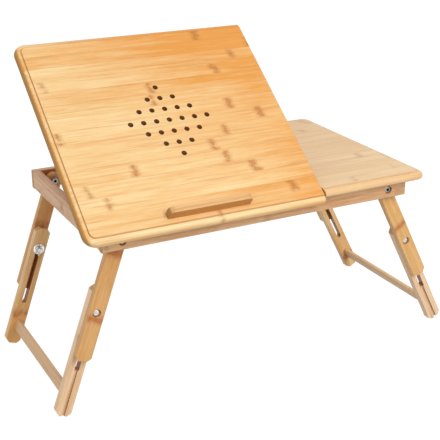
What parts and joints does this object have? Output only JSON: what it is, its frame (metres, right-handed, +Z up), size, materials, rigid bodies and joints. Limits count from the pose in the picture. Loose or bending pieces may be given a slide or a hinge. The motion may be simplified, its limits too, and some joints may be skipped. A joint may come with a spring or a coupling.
{
  "type": "laptop stand with drawer",
  "caption": "Folding bed tray: a tilting, vented laptop top on a prop, a fixed side top, two folding telescopic leg pairs and a drawer at the right end.",
  "frame": {"origin": "on the floor, midway between the left and right feet and between the front and back legs", "axes": "+X along the length towards the drawer end, +Y from the user's side to the back, +Z up"},
  "size_m": [0.675, 0.3473, 0.4792],
  "materials": {
    "bamboo_rails": "satin clear lacquer",
    "bamboo_end_grain": "satin, end grain",
    "bamboo_pale_top": "satin clear lacquer",
    "bamboo_tilt_top": "satin clear lacquer",
    "bamboo_stop": "satin clear lacquer",
    "bamboo_hidden": "bare, sanded",
    "bamboo_legs": "satin clear lacquer",
    "bamboo_stretchers": "satin clear lacquer",
    "bamboo_knob": "satin clear lacquer",
    "plywood": "bare, sanded",
    "screw_steel": "zinc plated",
    "hinge_steel": "nickel plated",
    "chrome_bolts": "bright plated",
    "nut_steel": "zinc plated",
    "washer_steel": "bright plated",
    "wing_steel": "bright plated",
    "wire_steel": "zinc plated wire"
  },
  "bodies": {
    "frame": {"front_rail": "bamboo_rails", "back_rail": "bamboo_rails", "left_end_rail": "bamboo_rails", "right_end_rail": "bamboo_rails", "corner_dowels": "bamboo_end_grain", "fixed_top": "bamboo_pale_top", "seam_batten": "bamboo_hidden", "front_drawer_guide": "bamboo_hidden", "back_drawer_guide": "bamboo_hidden", "seam_batten_screws": "screw_steel", "drawer_guide_screws": "screw_steel", "hinge_rail_screws": "screw_steel", "left_hinge_rail_leaf": "hinge_steel", "right_hinge_rail_leaf": "hinge_steel", "left_hinge_pin": "hinge_steel", "right_hinge_pin": "hinge_steel", "pivot_bolts": "chrome_bolts", "pivot_nuts": "nut_steel"},
    "tilting_top": {"tilt_top": "bamboo_tilt_top", "laptop_stop": "bamboo_stop", "laptop_stop_screws": "screw_steel", "hinge_top_screws": "screw_steel", "stay_track_screws": "screw_steel", "left_hinge_top_leaf": "hinge_steel", "right_hinge_top_leaf": "hinge_steel", "left_stay_track": "bamboo_hidden", "right_stay_track": "bamboo_hidden"},
    "stay": {"tilt_stay": "wire_steel"},
    "left_upper_legs": {"front_left_upper_leg": "bamboo_legs", "front_left_clamp_bolt": "chrome_bolts", "front_left_clamp_washer": "washer_steel", "back_left_upper_leg": "bamboo_legs", "back_left_clamp_bolt": "chrome_bolts", "back_left_clamp_washer": "washer_steel"},
    "left_lower_legs": {"front_left_lower_leg": "bamboo_legs", "back_left_lower_leg": "bamboo_legs", "left_stretcher": "bamboo_stretchers"},
    "front_left_wing": {"front_left_wing_nut": "wing_steel"},
    "back_left_wing": {"back_left_wing_nut": "wing_steel"},
    "right_upper_legs": {"front_right_upper_leg": "bamboo_legs", "front_right_clamp_bolt": "chrome_bolts", "front_right_clamp_washer": "washer_steel", "back_right_upper_leg": "bamboo_legs", "back_right_clamp_bolt": "chrome_bolts", "back_right_clamp_washer": "washer_steel"},
    "right_lower_legs": {"front_right_lower_leg": "bamboo_legs", "back_right_lower_leg": "bamboo_legs", "right_stretcher": "bamboo_stretchers"},
    "front_right_wing": {"front_right_wing_nut": "wing_steel"},
    "back_right_wing": {"back_right_wing_nut": "wing_steel"},
    "drawer": {"drawer_front": "bamboo_rails", "drawer_front_side": "bamboo_hidden", "drawer_back_side": "bamboo_hidden", "drawer_back": "bamboo_hidden", "drawer_bottom": "plywood", "drawer_knob": "bamboo_knob", "drawer_knob_screw": "screw_steel"}
  },
  "joints": [
    {"name": "top_tilt", "type": "hinge", "parent": "frame", "child": "tilting_top", "pos_m": [-0.10198, -0.1536, 0.2709], "axis": [-1, 0, 0], "range_deg": [0, 37.5]},
    {"name": "stay_swing", "type": "hinge", "parent": "frame", "child": "stay", "pos_m": [-0.10198, -0.04, 0.2679], "axis": [-1, 0, 0], "range_deg": [0, 74.63]},
    {"name": "left_legs_fold", "type": "hinge", "parent": "frame", "child": "left_upper_legs", "pos_m": [-0.23742, 0, 0.2584], "axis": [0, -1, 0], "range_deg": [0, 109.5]},
    {"name": "right_legs_fold", "type": "hinge", "parent": "frame", "child": "right_upper_legs", "pos_m": [0.19658, 0, 0.2584], "axis": [0, 1, 0], "range_deg": [0, 117.5]},
    {"name": "left_legs_slide", "type": "slide", "parent": "left_upper_legs", "child": "left_lower_legs", "axis": [0.3338, 0, 0.9426], "range_m": [-0.0045, 0.062]},
    {"name": "right_legs_slide", "type": "slide", "parent": "right_upper_legs", "child": "right_lower_legs", "axis": [-0.4617, 0, 0.887], "range_m": [0, 0.078]},
    {"name": "front_left_wing_spin", "type": "hinge", "parent": "left_upper_legs", "child": "front_left_wing", "pos_m": [-0.27414, -0.11, 0.15471], "axis": [0, 1, 0], "continuous": true},
    {"name": "back_left_wing_spin", "type": "hinge", "parent": "left_upper_legs", "child": "back_left_wing", "pos_m": [-0.27414, 0.11, 0.15471], "axis": [0, -1, 0], "continuous": true},
    {"name": "front_right_wing_spin", "type": "hinge", "parent": "right_upper_legs", "child": "front_right_wing", "pos_m": [0.24738, -0.11, 0.16083], "axis": [0, 1, 0], "continuous": true},
    {"name": "back_right_wing_spin", "type": "hinge", "parent": "right_upper_legs", "child": "back_right_wing", "pos_m": [0.24738, 0.11, 0.16083], "axis": [0, -1, 0], "continuous": true},
    {"name": "drawer_slide", "type": "slide", "parent": "frame", "child": "drawer", "axis": [1, 0, 0], "range_m": [0, 0.12]}
  ],
  "couplings": [
    {"joint": "stay_swing", "follows": "top_tilt", "ratio": 1.9895}
  ]
}
